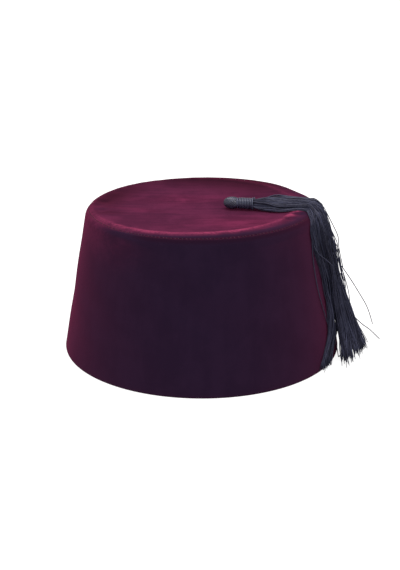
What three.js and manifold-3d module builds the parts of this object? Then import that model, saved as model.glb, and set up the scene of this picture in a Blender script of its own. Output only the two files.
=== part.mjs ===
import * as THREE from 'three';
import { mergeVertices } from 'three/addons/utils/BufferGeometryUtils.js';
import Module from 'manifold-3d';

// Fez hat, in millimetres with +Z up: a stiff velvet side, a velvet top sewn in along a seam on
// the shoulder, and a thread tassel that lies on the top and falls over the edge at +X.
// The origin is the centre of the head opening, on the surface that the hat stands on.

// Hat
const hatHeight = 115;
const baseLength = 215;
const baseBreadth = 179;
const topLength = 172; // where the slope of the side would meet the plane of the top
const clothThickness = 2.5;
const hemRadius = 0.6; // rounded corners of the flat lower rim
const shoulderRadius = 7.5; // rounded edge between the side and the top
const seamTurn = THREE.MathUtils.degToRad(35); // how far round the shoulder the seam runs
const topLean = THREE.MathUtils.degToRad(0.7); // the tassel's side stands a little higher
const pieceGap = 0.3;
const facetsAround = 72;

// How far the top lies below its rim, from the centre out to the start of the shoulder
const topDish = [
  { radius: 0, sink: 2.1 },
  { radius: 28, sink: 1.9 },
  { radius: 48, sink: 1.4 },
  { radius: 58, sink: 0.75 },
  { radius: 66, sink: 0 },
];

// Tassel, lying on the top towards +X
const tasselStart = 16; // X and Y of the free end of the knob
const tasselLane = -4.4;
const tasselTurn = THREE.MathUtils.degToRad(-10); // its axis points this far off +X
const headLength = 11;
const headRadius = 4.5;
const throatRadius = 3.4;
const bindingLength = 12;
const bindingRadius = 4.2;
const bindingTurns = 9;
const threadRelief = 0.25; // depth of the grooves between turns
const coreRadius = 3;
const coreReach = 4; // the core goes on this far past the binding
const tasselFacets = 18;

// Skirt of the tassel, in locks. Shares of a height, a width or the way along are out of 1.
const lockWidth = 6.6;
const lockThickness = 2.7;
const lockClearance = 0.45; // between the hat and the locks that lie on it
const lockSides = 6;
const lockSteps = 24;
const neckSpread = 0.14; // share of its lane that a lock has where it leaves the binding
const fanSpread = 0.95; // and half-way to the rim
const fanReach = 0.73; // where that is, as a share of the distance to the rim
const fanSink = 1; // how far the locks dip into the dish there
const frontDrop = 0.8; // how far the upper locks sink to the lower ones at the front edge
const rimPress = 0.1; // share of its layer's height that a lock keeps where it crosses the rim
const sidePress = 0.65; // and where it reaches the side
const edgePress = 0.8; // how much less of it the locks keep at the edges of the bundle
const rimSweep = 0.6; // how soon a lock turns to its upper direction
const laneMiddle = -6.4; // middle and half width of the bundle on the rim
const laneReach = 11.5;
const upperShare = 0.84; // heights on the hat where the upper, mid and low angles hold
const middleShare = 0.56;
const lowShare = 0.24;
const flareShare = 0.22; // share of the middle distance that a lock stands out at the upper height
const neckSwell = 0.45; // share of a lock's full section at the neck
const swellRate = 3; // how fast it fills out along the lock

// lane: Y on the rim; layer: 0 lies on the hat, 1 on other locks; turns: directions round the hat
// in degrees, below the shoulder, half-way down, low down and at the tip; stands: distances out
// from the side at the last three; tip: its height; swell: share of the full section left there.
const locks = [
  { lane: -15.3, layer: 0, turns: [-25, -17.8, -21.2, -34.5], stands: [2.2, 2.4, 2], tip: 1.5, swell: 0.5 },
  { lane: -11.9, layer: 0, turns: [-20, -14.6, -16.4, -31], stands: [2.4, 2.6, 2.4], tip: 2, swell: 0.6 },
  { lane: -8.3, layer: 0, turns: [-15, -12.5, -16, -24.5], stands: [3, 6.5, 12.5], tip: 4.5, swell: 0.8 },
  { lane: -4.7, layer: 0, turns: [-9.5, -9, -13.5, -20.5], stands: [3.2, 6.8, 11.5], tip: 4.5, swell: 0.8 },
  { lane: -1.1, layer: 0, turns: [-4, -5, -8.5, -13], stands: [3.2, 7.5, 13.5], tip: 4.5, swell: 0.8 },
  { lane: 2.5, layer: 0, turns: [2, 0, -3, -7.5], stands: [3, 8, 14], tip: 4.5, swell: 0.8 },
  { lane: -12.3, layer: 1, turns: [-19.5, -14, -18.5, -27], stands: [5, 9.8, 15], tip: 5, swell: 0.7 },
  { lane: -8.7, layer: 1, turns: [-14, -11.5, -16, -23], stands: [5.5, 11.2, 17], tip: 4.5, swell: 0.7 },
  { lane: -5.1, layer: 1, turns: [-8, -8, -12, -17.5], stands: [6, 12.6, 18.5], tip: 4, swell: 0.8 },
  { lane: -1.5, layer: 1, turns: [-2, -4, -8, -12], stands: [6.3, 14, 20.5], tip: 4, swell: 0.8 },
  { lane: 1.7, layer: 1, turns: [3, 0, -5, -7.5], stands: [6.3, 13.4, 23], tip: 4, swell: 0.8 },
];

const ovalOffset = (baseLength - baseBreadth) / 4;
const baseRadius = (baseLength + baseBreadth) / 4;
const topRadius = topLength / 2 - ovalOffset;
const sideSlope = Math.atan2(baseRadius - topRadius, hatHeight);
const shoulderTurn = Math.PI / 2 - sideSlope;
const shoulderStart = topRadius - shoulderRadius * Math.tan(shoulderTurn / 2);

const mergeDistance = 1e-4;
const wasm = await Module();
wasm.setup();

function solidOf(geometry) {
  const bare = geometry.clone();
  bare.deleteAttribute('normal');
  bare.deleteAttribute('uv');
  const merged = mergeVertices(bare, mergeDistance);
  return new wasm.Manifold(new wasm.Mesh({
    numProp: 3,
    vertProperties: new Float32Array(merged.attributes.position.array),
    triVerts: new Uint32Array(merged.index.array),
  }));
}

function geometryOf(solid) {
  const mesh = solid.getMesh();
  const geometry = new THREE.BufferGeometry();
  geometry.setAttribute('position', new THREE.BufferAttribute(mesh.vertProperties, 3));
  geometry.setIndex(new THREE.BufferAttribute(mesh.triVerts, 1));
  return geometry;
}

// Moves every point of a geometry by a rule that takes and changes a vector
function reshape(geometry, rule) {
  const position = geometry.attributes.position;
  const point = new THREE.Vector3();
  for (let i = 0; i < position.count; i += 1) {
    point.fromBufferAttribute(position, i);
    rule(point);
    position.setXYZ(i, point.x, point.y, point.z);
  }
  return geometry;
}

// A round plan becomes an oval of even taper: the same length is added along X and taken off
// along Y at every height, fading to none at the middle of the top.
function makeOval(point) {
  const radius = Math.hypot(point.x, point.y);
  if (radius === 0) return;
  const offset = ovalOffset * Math.min(1, radius / shoulderStart);
  point.x *= (radius + offset) / radius;
  point.y *= (radius - offset) / radius;
}

function makeLean(point) {
  point.z += point.x * Math.tan(topLean) * (point.z / hatHeight);
}

function sideRadius(height) {
  return baseRadius - height * Math.tan(sideSlope);
}

// A point of the shoulder's profile: turn 0 is its upper edge, depth goes into the cloth
function shoulderPoint(turn, depth) {
  const reach = shoulderRadius - depth;
  const centreHeight = hatHeight - shoulderRadius;
  return new THREE.Vector2(
    shoulderStart + reach * Math.sin(turn),
    centreHeight + reach * Math.cos(turn),
  );
}

function shoulderArc(fromTurn, toTurn, depth, steps) {
  const points = [];
  for (let i = 0; i <= steps; i += 1) {
    points.push(shoulderPoint(fromTurn + (toTurn - fromTurn) * i / steps, depth));
  }
  return points;
}

// The half-round edge that a cloth piece turns to the seam, from its outer to its inner face;
// side is 1 for the wall below the seam and -1 for the top above it.
const edgeRadius = clothThickness / 2;
const edgeTurn = (edgeRadius + pieceGap / 2) / (shoulderRadius - edgeRadius);

function seamEdge(side, steps) {
  const turn = seamTurn + side * edgeTurn;
  const centre = shoulderPoint(turn, edgeRadius);
  const outward = new THREE.Vector2(Math.sin(turn), Math.cos(turn));
  const towardsSeam = new THREE.Vector2(-Math.cos(turn), Math.sin(turn)).multiplyScalar(side);
  const points = [];
  for (let i = 1; i < steps; i += 1) {
    const bend = Math.PI * i / steps;
    points.push(centre.clone()
      .addScaledVector(outward, edgeRadius * Math.cos(bend))
      .addScaledVector(towardsSeam, edgeRadius * Math.sin(bend)));
  }
  return points;
}

function spun(profile) {
  return new THREE.LatheGeometry(profile, facetsAround).rotateX(Math.PI / 2);
}

// Velvet side: the sloping wall, its flat lower rim, and the roll-in up to the seam
function sideWall() {
  const wallWidth = clothThickness / Math.cos(sideSlope);
  const corner = (radius, height) => new THREE.Vector2(radius, height);
  const seamEnd = seamTurn + edgeTurn;
  const profile = [
    corner(baseRadius - wallWidth + hemRadius, 0),
    corner(baseRadius - hemRadius, 0),
    corner(sideRadius(hemRadius), hemRadius),
    ...shoulderArc(shoulderTurn, seamEnd, 0, 3),
    ...seamEdge(1, 4),
    ...shoulderArc(seamEnd, shoulderTurn, clothThickness, 2),
    corner(sideRadius(hemRadius) - wallWidth, hemRadius),
  ];
  profile.push(profile[0].clone());
  return reshape(spun(profile), makeOval);
}

// Velvet top: a dish inside a raised rim, rolled over to the seam
function crownTop() {
  const dish = topDish.map(({ radius, sink }) => new THREE.Vector2(radius, hatHeight - sink));
  const upper = new THREE.SplineCurve(dish).getPoints(6);
  const lower = dish.map(({ x, y }) => new THREE.Vector2(x, y - clothThickness));
  const seamEnd = seamTurn - edgeTurn;
  const profile = [
    ...upper,
    ...shoulderArc(0, seamEnd, 0, 3),
    ...seamEdge(-1, 4),
    ...shoulderArc(seamEnd, 0, clothThickness, 2),
    ...lower.reverse(),
  ].reverse();
  return reshape(spun(profile), makeOval);
}

const axisHeight = hatHeight - topDish[1].sink + pieceGap + headRadius;
const bindingStart = headLength + pieceGap;
const bindingEnd = bindingStart + bindingLength;

// Turns a profile of (radius, distance from the knob's free end) about the tassel's own axis
function turnedOnTassel(profile) {
  return new THREE.LatheGeometry(profile, tasselFacets)
    .rotateZ(tasselTurn - Math.PI / 2)
    .translate(tasselStart, tasselLane, axisHeight);
}

// Wound knob: an egg that narrows to the throat
function tasselHead() {
  const throatTurn = Math.PI - Math.asin(throatRadius / headRadius);
  const halfLength = headLength / (1 - Math.cos(throatTurn));
  const steps = 10;
  const profile = [];
  for (let i = 0; i <= steps; i += 1) {
    const turn = throatTurn * i / steps;
    const along = halfLength * (1 - Math.cos(turn));
    profile.push(new THREE.Vector2(headRadius * Math.sin(turn), along));
  }
  profile.push(new THREE.Vector2(0, headLength));
  return turnedOnTassel(profile);
}

// Wound neck: a sleeve with a rounded ridge for each turn of thread
function tasselBinding() {
  const pitch = bindingLength / bindingTurns;
  const boreRadius = coreRadius + pieceGap;
  const profile = [new THREE.Vector2(boreRadius, bindingStart)];
  for (let turn = 0; turn < bindingTurns; turn += 1) {
    const start = bindingStart + turn * pitch;
    profile.push(new THREE.Vector2(bindingRadius - threadRelief, start));
    profile.push(new THREE.Vector2(bindingRadius, start + pitch / 2));
  }
  profile.push(new THREE.Vector2(bindingRadius - threadRelief, bindingEnd));
  profile.push(new THREE.Vector2(boreRadius, bindingEnd));
  profile.push(profile[0].clone());
  return turnedOnTassel(profile);
}

// A place on the oval: direction round the hat, mean radius and height
function around(angle, radius, height) {
  const point = new THREE.Vector3(radius * Math.cos(angle), radius * Math.sin(angle), height);
  makeOval(point);
  return point;
}

// The line that a lock follows: out of the binding, over the rim, and down the side
function lockPath({ lane, layer, turns, stands, tip }) {
  const [upper, mid, low, end] = turns.map((angle) => THREE.MathUtils.degToRad(angle));
  const [midStand, lowStand, endStand] = stands;
  const rimAngle = Math.asin(lane / (shoulderStart - ovalOffset));
  const edge = THREE.MathUtils.clamp((lane - laneMiddle) / laneReach, -1, 1);
  const drop = frontDrop * Math.min(edge, 0) ** 2;
  const liftOf = (layerShare) => lockClearance + lockThickness * (layer * layerShare + 0.5);
  const onSide = (angle, height, stand) => around(angle, sideRadius(height) + stand, height);
  const overRim = [0, 0.3, 0.65, 1].map((share) => {
    const press = THREE.MathUtils.lerp(rimPress, sidePress, share ** 2);
    const lift = liftOf(press * (1 - edgePress * (1 - share / 2) * edge ** 2));
    const { x, y } = shoulderPoint(share * shoulderTurn, -lift);
    return around(THREE.MathUtils.lerp(rimAngle, upper, share ** rimSweep), x, y);
  });
  return new THREE.CatmullRomCurve3([
    new THREE.Vector3(
      tasselStart + bindingEnd * Math.cos(tasselTurn),
      tasselLane + bindingEnd * Math.sin(tasselTurn) + (lane - tasselLane) * neckSpread,
      axisHeight + (layer - 0.5) * lockThickness / 2,
    ),
    new THREE.Vector3(overRim[0].x * fanReach, lane * fanSpread, hatHeight + liftOf(1 - drop) - fanSink),
    ...overRim,
    onSide(upper, hatHeight * upperShare, liftOf(0.85) + flareShare * midStand),
    onSide(mid, hatHeight * middleShare, midStand),
    onSide(low, hatHeight * lowShare, lowStand),
    onSide(end, tip, endStand),
  ], false, 'centripetal');
}

// One lock: a cylinder laid along its path, thin at the neck and drawn in at the tip
function lockSolid(lock) {
  const path = lockPath(lock);
  const ovalRatio = baseLength / baseBreadth;
  const rod = new THREE.CylinderGeometry(1, 1, 1, lockSides, lockSteps);
  reshape(rod, (point) => {
    const { x, z } = point;
    const along = 0.5 - point.y;
    const swell = Math.min(1, neckSwell + along * swellRate) * (1 - (1 - lock.swell) * along ** 3);
    const place = path.getPoint(along);
    const tangent = path.getTangent(along);
    const level = new THREE.Vector3(-place.y * ovalRatio, place.x / ovalRatio, 0);
    const outward = new THREE.Vector3().crossVectors(tangent, level).normalize();
    const sideways = new THREE.Vector3().crossVectors(outward, tangent);
    point.copy(place)
      .addScaledVector(sideways, x * swell * lockWidth / 2)
      .addScaledVector(outward, z * swell * lockThickness / 2);
  });
  return solidOf(rod);
}

// Hanging threads: the core inside the binding, with the locks fused to it
function tasselSkirt() {
  const coreStart = bindingStart;
  const coreEnd = bindingEnd + coreReach;
  const core = turnedOnTassel([
    new THREE.Vector2(0, coreStart),
    new THREE.Vector2(coreRadius, coreStart),
    new THREE.Vector2(coreRadius, coreEnd),
    new THREE.Vector2(0, coreEnd),
  ]);
  const solid = locks.reduce((joined, lock) => joined.add(lockSolid(lock)), solidOf(core));
  return geometryOf(solid);
}

const velvet = { color: 0x4f1733, roughness: 0.95, metalness: 0 };
const thread = { color: 0x24242f, roughness: 0.55, metalness: 0 };

const hat = new THREE.Group();
hat.name = 'fez_hat';
const pieces = [
  { name: 'side_wall', geometry: sideWall(), finish: velvet },
  { name: 'crown_top', geometry: crownTop(), finish: velvet },
  { name: 'tassel_head', geometry: tasselHead(), finish: thread },
  { name: 'tassel_binding', geometry: tasselBinding(), finish: thread },
  { name: 'tassel_skirt', geometry: tasselSkirt(), finish: thread },
];
for (const { name, geometry, finish } of pieces) {
  const mesh = new THREE.Mesh(reshape(geometry, makeLean), new THREE.MeshStandardMaterial(finish));
  mesh.name = name;
  hat.add(mesh);
}

export default hat;
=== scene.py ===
import math

import bmesh
import bpy
import numpy as np
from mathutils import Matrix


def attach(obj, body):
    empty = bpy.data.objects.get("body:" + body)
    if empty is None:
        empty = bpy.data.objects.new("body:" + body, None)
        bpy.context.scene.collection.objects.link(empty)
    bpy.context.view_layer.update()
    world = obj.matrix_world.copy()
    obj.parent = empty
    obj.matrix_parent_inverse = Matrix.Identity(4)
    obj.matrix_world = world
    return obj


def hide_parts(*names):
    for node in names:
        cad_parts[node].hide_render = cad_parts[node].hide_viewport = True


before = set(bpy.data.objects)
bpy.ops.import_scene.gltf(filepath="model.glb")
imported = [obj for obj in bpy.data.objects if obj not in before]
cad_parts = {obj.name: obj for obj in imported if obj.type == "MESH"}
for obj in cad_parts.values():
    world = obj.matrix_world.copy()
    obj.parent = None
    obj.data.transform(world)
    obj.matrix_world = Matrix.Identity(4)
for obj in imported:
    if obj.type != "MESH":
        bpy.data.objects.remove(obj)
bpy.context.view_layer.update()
print("frame loaded:", ", ".join(sorted(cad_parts)))

# Metres and degrees, +X towards the tassel, -Y towards the viewer
hat = {
    "height": 0.115,
    "length": 0.215,
    "breadth": 0.179,
    "topLength": 0.172,  # where the slope of the side would meet the plane of the top
    "cloth": 0.0025,
    "shoulder": 0.0075,
    "seamTurn": 35,  # how far round the shoulder the seam runs
    "lean": 0.7,  # the tassel's side stands a little higher
}

ovalOffset = (hat["length"] - hat["breadth"]) / 4
baseRadius = (hat["length"] + hat["breadth"]) / 4
topRadius = hat["topLength"] / 2 - ovalOffset
sideSlope = math.atan2(baseRadius - topRadius, hat["height"])
shoulderTurn = math.pi / 2 - sideSlope
shoulderStart = topRadius - hat["shoulder"] * math.tan(shoulderTurn / 2)
shoulderHeight = hat["height"] - hat["shoulder"]
seamTurn = math.radians(hat["seamTurn"])
leanRise = math.tan(math.radians(hat["lean"])) / hat["height"]


def sideRadius(height):
    return baseRadius - height * math.tan(sideSlope)


def shoulderPoint(turn, depth):  # turn 0 is the upper edge, depth goes into the cloth
    reach = hat["shoulder"] - depth
    return shoulderStart + reach * math.sin(turn), shoulderHeight + reach * math.cos(turn)


def ovalShare(radius):
    return ovalOffset * np.minimum(1, radius / shoulderStart) / np.maximum(radius, 1e-9)


def toOval(points):  # a round plan becomes the head oval
    share = ovalShare(np.hypot(points[..., 0], points[..., 1]))
    return points * np.stack([1 + share, 1 - share, np.ones_like(share)], -1)


def toLean(points):
    rise = points[..., 0] * points[..., 2] * leanRise
    return points + np.stack([np.zeros_like(rise), np.zeros_like(rise), rise], -1)


def fromOval(points):  # angle and mean radius of places on the oval
    x, y = points[..., 0], points[..., 1]
    radius = np.hypot(x, y)
    for _ in range(8):
        share = ovalShare(radius)
        radius = np.hypot(x / (1 + share), y / (1 - share))
    return np.arctan2(y / (1 - share), x / (1 + share)), radius


def around(angle, radius, height):  # a place on the oval: direction, mean radius and height
    level = radius * np.cos(angle), radius * np.sin(angle)
    return toOval(np.stack(np.broadcast_arrays(*level, height), -1))


def onSide(angle, height, stand):  # a place that stands off the side
    return around(angle, sideRadius(height) + stand, height)


def smoothLine(points, spanSteps):  # smooth curves through rows of points, many curves at once
    first = 2 * points[:, :1] - points[:, 1:2]
    last = 2 * points[:, -1:] - points[:, -2:-1]
    path = np.concatenate([first, points, last], 1)
    gaps = np.sqrt(np.linalg.norm(np.diff(path, axis=1), axis=2, keepdims=True)) + 1e-9
    pieces = []
    for i, steps in enumerate(spanSteps):
        a, b, c, d = (path[:, i + k] for k in range(4))
        before, here, after = (gaps[:, i + k] for k in range(3))
        leave = ((b - a) / before - (c - a) / (before + here) + (c - b) / here) * here
        reach = ((c - b) / here - (d - b) / (here + after) + (d - c) / after) * here
        t = (np.arange(steps) / steps)[None, :, None]
        b, c, leave, reach = (v[:, None] for v in (b, c, leave, reach))
        bend = -3 * b + 3 * c - 2 * leave - reach
        pieces.append(b + leave * t + bend * t ** 2 + (2 * b - 2 * c + leave + reach) * t ** 3)
    pieces.append(points[:, -1:])
    return np.concatenate(pieces, 1)


def bell(value, centre, width):
    return np.exp(-((value - centre) / width) ** 2)


def smoothStep(value, low, high):
    share = np.clip((value - low) / (high - low), 0, 1)
    return share ** 2 * (3 - 2 * share)


def turnBetween(angle, centre):  # shortest way round from centre to angle
    return (angle - centre + math.pi) % math.tau - math.pi


def ripple(angle, counts, seed):  # uneven waves round the hat, about -1 to 1
    rng = np.random.default_rng(seed)
    phases = rng.uniform(0, math.tau, len(counts))
    waves = [np.sin(n * angle + p) for n, p in zip(counts, phases)]
    return sum(waves) / math.sqrt(len(counts))


# one small class for shader sums
class Wire:
    def __init__(self, tree, socket=None):
        self.tree = tree
        self.socket = socket

    def add(self, kind, settings=None, sockets=None, out=0):
        node = self.tree.nodes.new("ShaderNode" + kind)
        for name, value in (settings or {}).items():
            setattr(node, name, value)
        for name, value in (sockets or {}).items():
            if isinstance(value, Wire):
                self.tree.links.new(value.socket, node.inputs[name])
            else:
                node.inputs[name].default_value = value
        return Wire(self.tree, node.outputs[out] if node.outputs else None)

    def sum(self, operation, *terms):
        return self.add("Math", {"operation": operation}, dict(enumerate(terms)))

    def __add__(self, other):
        return self.sum("ADD", self, other)

    def __radd__(self, other):
        return self.sum("ADD", other, self)

    def __mul__(self, other):
        return self.sum("MULTIPLY", self, other)

    def __rmul__(self, other):
        return self.sum("MULTIPLY", other, self)

    def sine(self):
        return self.sum("SINE", self)

    def clip(self, low, high):  # 0 at low, 1 at high, smooth between
        settings = {"interpolation_type": "SMOOTHSTEP"}
        return self.add("MapRange", settings, {"Value": self, "From Min": low, "From Max": high})

    def mixColour(self, low, high):
        return self.add("Mix", {"data_type": "RGBA"}, {0: self, 6: low, 7: high}, out=2)


def startFinish(name):
    finish = bpy.data.materials.new(name)
    finish.use_nodes = True
    finish.node_tree.nodes.clear()
    return finish, Wire(finish.node_tree)


def endFinish(desk, sockets):
    shader = desk.add("BsdfPrincipled", None, sockets)
    desk.add("OutputMaterial", None, {"Surface": shader})


def objectPlace(desk, scale=(1, 1, 1)):
    place = desk.add("TexCoord", out="Object")
    return desk.add("Mapping", None, {"Vector": place, "Scale": scale})


def noise(desk, place, scale, detail=2.0, roughness=0.5):
    sockets = {"Vector": place, "Scale": scale, "Detail": detail, "Roughness": roughness}
    return desk.add("TexNoise", None, sockets)


def pointValue(desk, name):
    return desk.add("Attribute", {"attribute_name": name}, out="Fac")


def relief(desk, height, strength, depth):
    return desk.add("Bump", None, {"Height": height, "Strength": strength, "Distance": depth})


velvet = {
    "sheenTint": (1.0, 0.13, 0.32, 1),
    "sheen": 0.232,
    "sheenRoughness": 0.57,
    "roughness": 0.95,
    "wornAndHighlight": (0.30, 0.048, 0.115, 1),  # rubbed pile along the rim and the seam, and painted highlight along the ridge and on raised dents
    "standingDeep": (0.0143, 0.0120, 0.0318, 1),  # pile that stands up, as on the side
    "standingLit": (0.0191, 0.0140, 0.0366, 1),
    "standingStreaks": (70, 70, 9),
    "shaded": (0.0070, 0.0045, 0.0095, 1),  # pile in the shade of the rim
    "turned": (0.0130, 0.0072, 0.0195, 1),  # painted shade on the shoulder below the rim
    "shoulderShadeMiddle": 44,  # where that is, in degrees round the shoulder
    "shoulderShadeSpread": 24,
    "shoulderShadeFade": (-0.080, -0.030),  # X where it begins and where it is full
    "brushedSheenDeep": (0.0760, 0.0125, 0.0385, 1),  # pile brushed lengthwise, as on the top, painted brighter than the side as painted sheen
    "brushedSheenLit": (0.1720, 0.0240, 0.0730, 1),
    "brushedSheenStreaks": (28, 320, 320),
    "brushedHeights": (0.080, 0.110),  # on the side the pile is brushed only near the top
    "patchScale": 42,
    "patchWeight": 0.5,  # weights of patches, streaks and single tufts in the shade
    "streakWeight": 0.35,
    "pileWeight": 0.15,
    "shadeRange": (0.415, 0.585),
    "crushScale": 520,
    "crushRange": (0.3, 0.7),
    "wearAndHighlightLeast": 0.65,  # rubbed pile and painted highlight where the pile isn't crushed, and how much more where it is
    "wearAndHighlightCrush": 0.7,
    "pileScale": 1900,
    "pileStrength": 0.35,
    "pileDepth": 0.00025,
}


# lie: 0 brushed with painted sheen, 1 standing, 2 painted shade below the rim; shade and wear are
# shares
def makeVelvet():
    finish, desk = startFinish("wine_velvet")
    patches = noise(desk, objectPlace(desk), velvet["patchScale"], 5.0, 0.62)
    crush = noise(desk, objectPlace(desk), velvet["crushScale"], 3.0, 0.6)
    crush = crush.clip(*velvet["crushRange"])
    pile = noise(desk, objectPlace(desk), velvet["pileScale"], 2.0, 0.7)
    tones = []
    # the brushed tones are painted brighter than the standing ones, a painted sheen on the top
    for pose in ("brushedSheen", "standing"):
        streaks = noise(desk, objectPlace(desk, velvet[pose + "Streaks"]), 1.0, 3.0, 0.6)
        shade = velvet["patchWeight"] * patches + velvet["streakWeight"] * streaks
        shade = (shade + velvet["pileWeight"] * pile).clip(*velvet["shadeRange"])
        tones.append(shade.mixColour(velvet[pose + "Deep"], velvet[pose + "Lit"]))
    # the lie value mixes brushed pile with painted sheen, standing pile, and painted shade below the
    # rim
    lie = pointValue(desk, "lie")
    cloth = lie.clip(1.0, 2.0).mixColour(lie.mixColour(*tones), velvet["turned"])
    cloth = pointValue(desk, "shade").mixColour(cloth, velvet["shaded"])
    rubbedAndLit = pointValue(desk, "wearAndHighlight") * (velvet["wearAndHighlightLeast"] + velvet["wearAndHighlightCrush"] * crush)
    endFinish(desk, {
        "Base Color": rubbedAndLit.clip(0.0, 1.0).mixColour(cloth, velvet["wornAndHighlight"]),
        "Roughness": velvet["roughness"],
        "Specular IOR Level": 0.0,
        "Sheen Weight": velvet["sheen"],
        "Sheen Roughness": velvet["sheenRoughness"],
        "Sheen Tint": velvet["sheenTint"],
        "Normal": relief(desk, pile, velvet["pileStrength"], velvet["pileDepth"]),
    })
    return finish


backing = {
    "warp": (0.030, 0.012, 0.018, 1),
    "weft": (0.016, 0.008, 0.012, 1),
    "threadPitch": 0.0009,
    "weaveStrength": 0.5,
    "weaveDepth": 0.0002,
    "roughness": 0.9,
    "gloss": 0.15,
}


def uvShares(desk, name):
    place = desk.add("UVMap", {"uv_map": name})
    return [desk.add("SeparateXYZ", None, {"Vector": place}, out=axis) for axis in ("X", "Y")]


def makeBacking():
    finish, desk = startFinish("backing_cloth")
    across, along = uvShares(desk, "cloth")
    turns = math.tau / backing["threadPitch"]
    weave = 0.5 + 0.5 * (across * turns).sine() * (along * turns).sine()
    endFinish(desk, {
        "Base Color": weave.mixColour(backing["weft"], backing["warp"]),
        "Roughness": backing["roughness"],
        "Specular IOR Level": backing["gloss"],
        "Normal": relief(desk, weave, backing["weaveStrength"], backing["weaveDepth"]),
    })
    return finish


thread = {
    "dark": (0.0120, 0.0108, 0.0260, 1),
    "loosePale": (0.0890, 0.0950, 0.1680, 1),
    "looseGloss": 0.35,
    "looseRoughness": 0.32,
    "woundPale": (0.0640, 0.0710, 0.1250, 1),
    "woundGloss": 1.0,
    "woundRoughness": 0.16,
    "tint": (0.85, 0.90, 1.0, 1),
    "twists": 900,  # turns of the two plies in a metre
    "plyStrength": 0.4,
    "plyDepth": 0.00008,
    "unevenScale": 160.0,
    "unevenRoughness": 0.15,
    "toneWeight": 0.7,  # weights of a strand's own tone, its plies and its unevenness in the shade
    "plyWeight": 0.2,
    "unevenWeight": 0.2,
    "shadeRange": (0.1, 1.0),
}


def makeThread(name, kind):
    finish, desk = startFinish(name)
    across, along = uvShares(desk, "thread")
    plies = 0.5 + 0.5 * (2 * math.tau * across + along * (thread["twists"] * math.tau)).sine()
    uneven = noise(desk, objectPlace(desk), thread["unevenScale"])
    shade = thread["toneWeight"] * pointValue(desk, "tone") + thread["plyWeight"] * plies
    shade = (shade + thread["unevenWeight"] * uneven).clip(*thread["shadeRange"])
    endFinish(desk, {
        "Base Color": shade.mixColour(thread["dark"], thread[kind + "Pale"]),
        "Roughness": thread[kind + "Roughness"] + thread["unevenRoughness"] * uneven,
        "Specular IOR Level": thread[kind + "Gloss"],
        "Specular Tint": thread["tint"],
        "Normal": relief(desk, plies, thread["plyStrength"], thread["plyDepth"]),
    })
    return finish


stitching = {
    "dark": (0.030, 0.011, 0.024, 1),
    "pale": (0.078, 0.023, 0.052, 1),
    "grainScale": 700.0,
    "grainRange": (0.3, 0.7),
    "grainStrength": 0.4,
    "grainDepth": 0.0001,
    "roughness": 0.6,
    "gloss": 0.3,
}


def makeStitching():
    finish, desk = startFinish("wine_stitching")
    grain = noise(desk, objectPlace(desk), stitching["grainScale"]).clip(*stitching["grainRange"])
    endFinish(desk, {
        "Base Color": grain.mixColour(stitching["dark"], stitching["pale"]),
        "Roughness": stitching["roughness"],
        "Specular IOR Level": stitching["gloss"],
        "Normal": relief(desk, grain, stitching["grainStrength"], stitching["grainDepth"]),
    })
    return finish


wineVelvet = makeVelvet()
backingCloth = makeBacking()
looseThread = makeThread("black_rayon", "loose")
woundThread = makeThread("wound_rayon", "wound")
wineStitching = makeStitching()
print("finishes made")


def spinProfile(profile, steps, closed, axis=(0, 0, 1)):
    shape = bmesh.new()
    chain = [shape.verts.new(point) for point in profile]
    follow = chain[1:] + chain[:1] if closed else chain[1:]
    edges = [shape.edges.new(pair) for pair in zip(chain, follow)]
    bmesh.ops.spin(
        shape, geom=chain + edges, cent=(0, 0, 0), axis=axis,
        angle=math.tau, steps=steps, use_merge=True,
    )
    bmesh.ops.remove_doubles(shape, verts=shape.verts, dist=1e-7)
    bmesh.ops.recalc_face_normals(shape, faces=shape.faces)
    return shape


def placesOf(shape):
    return np.array([vert.co for vert in shape.verts])


def reshape(shape, rule):
    for vert, place in zip(shape.verts, rule(placesOf(shape))):
        vert.co = place


def addPiece(mesh, finishes, node=None):
    for finish in finishes:
        mesh.materials.append(finish)
    mesh.shade_smooth()
    piece = bpy.data.objects.new(mesh.name, mesh)
    bpy.context.scene.collection.objects.link(piece)
    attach(piece, "root")
    if node:
        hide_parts(node)


def setPointValues(mesh, name, values):
    attribute = mesh.attributes.new(name, "FLOAT", "POINT")
    attribute.data.foreach_set("value", np.asarray(values, np.float32).ravel())


def clothMap(shape):  # UV in metres: round the hat, and up or out from its axis
    layer = shape.loops.layers.uv.new("cloth")
    for face in shape.faces:
        centre = face.calc_center_median()
        middle = math.atan2(centre.y, centre.x)
        for loop in face.loops:
            x, y, z = loop.vert.co
            angle = middle + float(turnBetween(math.atan2(y, x), middle))
            loop[layer].uv = (angle * topRadius, z - math.hypot(x, y))


def arc(centre, radius, start, end, steps):  # points of an arc, angles from the outward level
    turns = [start + (end - start) * i / steps for i in range(steps + 1)]
    return [(centre[0] + radius * math.cos(t), centre[1] + radius * math.sin(t)) for t in turns]


def shoulderArc(start, end, depth, steps):
    return [shoulderPoint(start + (end - start) * i / steps, depth) for i in range(steps + 1)]


# patches where the top is painted paler, partly flatter brushed pile and partly painted light:
# place, reach in X and Y, share
paleAndLitPatches = [
    ((0.030, -0.036), (0.030, 0.014), 0.46),
    ((-0.016, 0.017), (0.036, 0.009), 0.30),
    ((-0.060, -0.003), (0.022, 0.002), 0.20),
    ((-0.041, -0.008), (0.014, 0.003), 0.26),
    ((-0.086, -0.012), (0.006, 0.020), 0.30),
    ((-0.078, -0.038), (0.013, 0.016), 0.30),
    ((-0.060, -0.056), (0.018, 0.010), 0.22),
]
# and patches where it is in shade
shadedPatches = [
    ((0.048, 0.044), (0.032, 0.022), 0.70),
    ((-0.002, 0.064), (0.060, 0.020), 1.00),
    ((-0.055, 0.038), (0.014, 0.011), 0.55),
    ((-0.068, 0.024), (0.015, 0.012), 0.75),
    ((-0.075, 0.008), (0.015, 0.012), 0.75),
    ((-0.068, -0.014), (0.012, 0.005), 0.50),
]
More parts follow.
